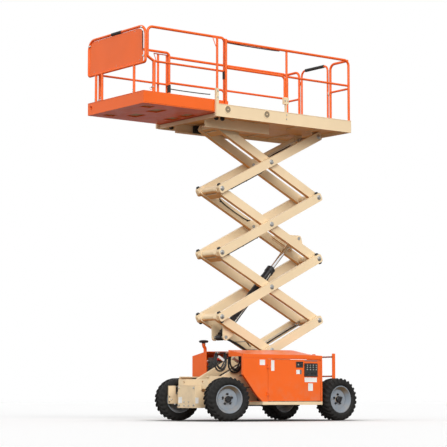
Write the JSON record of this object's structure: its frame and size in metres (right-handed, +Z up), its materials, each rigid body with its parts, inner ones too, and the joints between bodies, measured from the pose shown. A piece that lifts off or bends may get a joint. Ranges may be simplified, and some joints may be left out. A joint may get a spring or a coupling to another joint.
{
  "type": "scissor lift",
  "caption": "Rough-terrain scissor lift with stacked crossed arms, a railed platform with roll-out deck, side engine covers and lugged tyres, partly raised.",
  "frame": {"origin": "on the floor under the middle of the bounding box", "axes": "+X to the steered front, +Y to the machine's left, +Z up"},
  "size_m": [4.262, 1.8556, 6.0142],
  "materials": {
    "tan_paint": "satin",
    "orange_paint": "gloss",
    "pin_steel": "satin",
    "black_paint": "satin",
    "chrome_rod": "polished",
    "tyre_rubber": "matte",
    "rim_silver": "satin",
    "wear_nylon": "matte",
    "black_plastic": "matte",
    "engine_metal": "matte",
    "axle_paint": "satin",
    "foam": "matte",
    "floor_sheet": "satin"
  },
  "bodies": {
    "chassis": {"base_lugs": "tan_paint", "chassis_beams": "tan_paint", "chassis_tracks": "tan_paint", "cross_members": "tan_paint", "engine": "engine_metal", "front_axle": "axle_paint", "hood_trays": "tan_paint", "intake_stack": "orange_paint", "left_hood": "orange_paint", "rear_axle": "axle_paint", "rear_ladder": "orange_paint", "right_hood": "orange_paint", "tanks": "black_plastic", "valve_block": "engine_metal"},
    "inner_1": {"inner_frame_1": "tan_paint", "barrel_pin": "pin_steel"},
    "inner_2": {"inner_frame_2": "tan_paint"},
    "inner_3": {"inner_frame_3": "tan_paint", "rod_pin": "pin_steel"},
    "inner_4": {"inner_frame_4": "tan_paint"},
    "head_slides": {"head_slide_blocks": "wear_nylon"},
    "foot_slides": {"foot_slide_blocks": "wear_nylon"},
    "outer_1": {"outer_arms_1": "tan_paint", "level_pins_1": "pin_steel"},
    "outer_2": {"outer_arms_2": "tan_paint", "level_pins_2": "pin_steel"},
    "outer_3": {"outer_arms_3": "tan_paint", "level_pins_3": "pin_steel"},
    "outer_4": {"outer_arms_4": "tan_paint", "level_pins_4": "pin_steel"},
    "barrel": {"lift_barrel": "black_paint"},
    "rod": {"lift_rod": "chrome_rod"},
    "left_steering": {"left_knuckle": "axle_paint"},
    "right_steering": {"right_knuckle": "axle_paint"},
    "front_left_wheel": {"front_left_tyre": "tyre_rubber", "front_left_rim": "rim_silver"},
    "front_right_wheel": {"front_right_tyre": "tyre_rubber", "front_right_rim": "rim_silver"},
    "rear_left_wheel": {"rear_left_tyre": "tyre_rubber", "rear_left_rim": "rim_silver"},
    "rear_right_wheel": {"rear_right_tyre": "tyre_rubber", "rear_right_rim": "rim_silver"},
    "left_door": {"left_door": "orange_paint"},
    "right_door": {"right_door": "orange_paint"},
    "platform": {"deck": "tan_paint", "deck_tracks": "tan_paint", "deck_track_flanges": "tan_paint", "side_rails": "orange_paint", "side_posts": "orange_paint", "rear_hoops": "orange_paint", "rail_sockets": "tan_paint"},
    "gate": {"gate": "orange_paint", "gate_grip": "foam"},
    "roll_out": {"roll_out_deck": "orange_paint", "roll_out_floor": "floor_sheet", "roll_out_rails": "orange_paint", "front_guard": "orange_paint", "guard_sheet": "orange_paint", "control_box": "black_plastic", "guard_grip": "foam"}
  },
  "joints": [
    {"name": "lift", "type": "hinge", "parent": "chassis", "child": "inner_1", "pos_m": [-1.75, 0, 0.617], "axis": [0, -1, 0], "range_deg": [-22.2, 25.9]},
    {"name": "cross_1", "type": "hinge", "parent": "inner_1", "child": "outer_1", "pos_m": [-0.73692, 0, 1.12653], "axis": [0, -1, 0], "range_deg": [-51.9, 44.5]},
    {"name": "stack_2", "type": "hinge", "parent": "outer_1", "child": "inner_2", "pos_m": [-1.75, 0, 1.63606], "axis": [0, -1, 0], "range_deg": [-44.5, 51.9]},
    {"name": "cross_2", "type": "hinge", "parent": "inner_2", "child": "outer_2", "pos_m": [-0.73692, 0, 2.14558], "axis": [0, -1, 0], "range_deg": [-51.9, 44.5]},
    {"name": "stack_3", "type": "hinge", "parent": "outer_2", "child": "inner_3", "pos_m": [-1.75, 0, 2.65511], "axis": [0, -1, 0], "range_deg": [-44.5, 51.9]},
    {"name": "cross_3", "type": "hinge", "parent": "inner_3", "child": "outer_3", "pos_m": [-0.73692, 0, 3.16464], "axis": [0, -1, 0], "range_deg": [-51.9, 44.5]},
    {"name": "stack_4", "type": "hinge", "parent": "outer_3", "child": "inner_4", "pos_m": [-1.75, 0, 3.67417], "axis": [0, -1, 0], "range_deg": [-44.5, 51.9]},
    {"name": "cross_4", "type": "hinge", "parent": "inner_4", "child": "outer_4", "pos_m": [-0.73692, 0, 4.18369], "axis": [0, -1, 0], "range_deg": [-51.9, 44.5]},
    {"name": "platform_level", "type": "hinge", "parent": "outer_4", "child": "platform", "pos_m": [-1.75, 0, 4.69322], "axis": [0, -1, 0], "range_deg": [-22.3, 26]},
    {"name": "foot_slide_level", "type": "hinge", "parent": "outer_1", "child": "foot_slides", "pos_m": [0.27617, 0, 0.617], "axis": [0, -1, 0], "range_deg": [-22.3, 26]},
    {"name": "head_slide_level", "type": "hinge", "parent": "inner_4", "child": "head_slides", "pos_m": [0.27617, 0, 4.69322], "axis": [0, -1, 0], "range_deg": [-26, 22.3]},
    {"name": "barrel_pivot", "type": "hinge", "parent": "inner_1", "child": "barrel", "pos_m": [0.08505, 0, 1.32166], "axis": [0, -1, 0], "range_deg": [-53.2, 45.7]},
    {"name": "rod_slide", "type": "slide", "parent": "barrel", "child": "rod", "axis": [-0.6769, 0, 0.7361], "range_m": [-0.563, 0.656]},
    {"name": "left_steer", "type": "hinge", "parent": "chassis", "child": "left_steering", "pos_m": [0.46, 0.55, 0.34], "axis": [0, 0, 1], "range_deg": [-16, 46]},
    {"name": "right_steer", "type": "hinge", "parent": "chassis", "child": "right_steering", "pos_m": [0.46, -0.55, 0.34], "axis": [0, 0, 1], "range_deg": [-16, 46]},
    {"name": "front_left_spin", "type": "hinge", "parent": "left_steering", "child": "front_left_wheel", "pos_m": [0.50141, 0.70455, 0.34], "axis": [0.2588, 0.9659, 0], "continuous": true},
    {"name": "front_right_spin", "type": "hinge", "parent": "right_steering", "child": "front_right_wheel", "pos_m": [0.41859, -0.70455, 0.34], "axis": [0.2588, 0.9659, 0], "continuous": true},
    {"name": "rear_left_spin", "type": "hinge", "parent": "chassis", "child": "rear_left_wheel", "pos_m": [-1.74, 0.71, 0.34], "axis": [0, 1, 0], "continuous": true},
    {"name": "rear_right_spin", "type": "hinge", "parent": "chassis", "child": "rear_right_wheel", "pos_m": [-1.74, -0.71, 0.34], "axis": [0, 1, 0], "continuous": true},
    {"name": "left_door_hinge", "type": "hinge", "parent": "chassis", "child": "left_door", "pos_m": [-0.248, 0.813, 0.6], "axis": [0, 0, -1], "range_deg": [0, 100]},
    {"name": "right_door_hinge", "type": "hinge", "parent": "chassis", "child": "right_door", "pos_m": [-0.248, -0.813, 0.6], "axis": [0, 0, 1], "range_deg": [0, 100]},
    {"name": "gate_hinge", "type": "hinge", "parent": "platform", "child": "gate", "pos_m": [-1.99, -0.43, 5.32322], "axis": [0, 0, -1], "range_deg": [0, 95]},
    {"name": "roll_out_slide", "type": "slide", "parent": "platform", "child": "roll_out", "axis": [1, 0, 0], "range_m": [-1.22, 0]}
  ],
  "couplings": [
    {"joint": "cross_1", "follows": "lift", "ratio": -2},
    {"joint": "stack_2", "follows": "lift", "ratio": 2},
    {"joint": "cross_2", "follows": "lift", "ratio": -2},
    {"joint": "stack_3", "follows": "lift", "ratio": 2},
    {"joint": "cross_3", "follows": "lift", "ratio": -2},
    {"joint": "stack_4", "follows": "lift", "ratio": 2},
    {"joint": "cross_4", "follows": "lift", "ratio": -2},
    {"joint": "platform_level", "follows": "lift", "ratio": 1},
    {"joint": "foot_slide_level", "follows": "lift", "ratio": 1},
    {"joint": "head_slide_level", "follows": "lift", "ratio": -1},
    {"joint": "barrel_pivot", "follows": "lift", "ratio": -2.05},
    {"joint": "rod_slide", "follows": "lift", "m_per_rad": 1.44},
    {"joint": "right_steer", "follows": "left_steer", "ratio": 1}
  ]
}
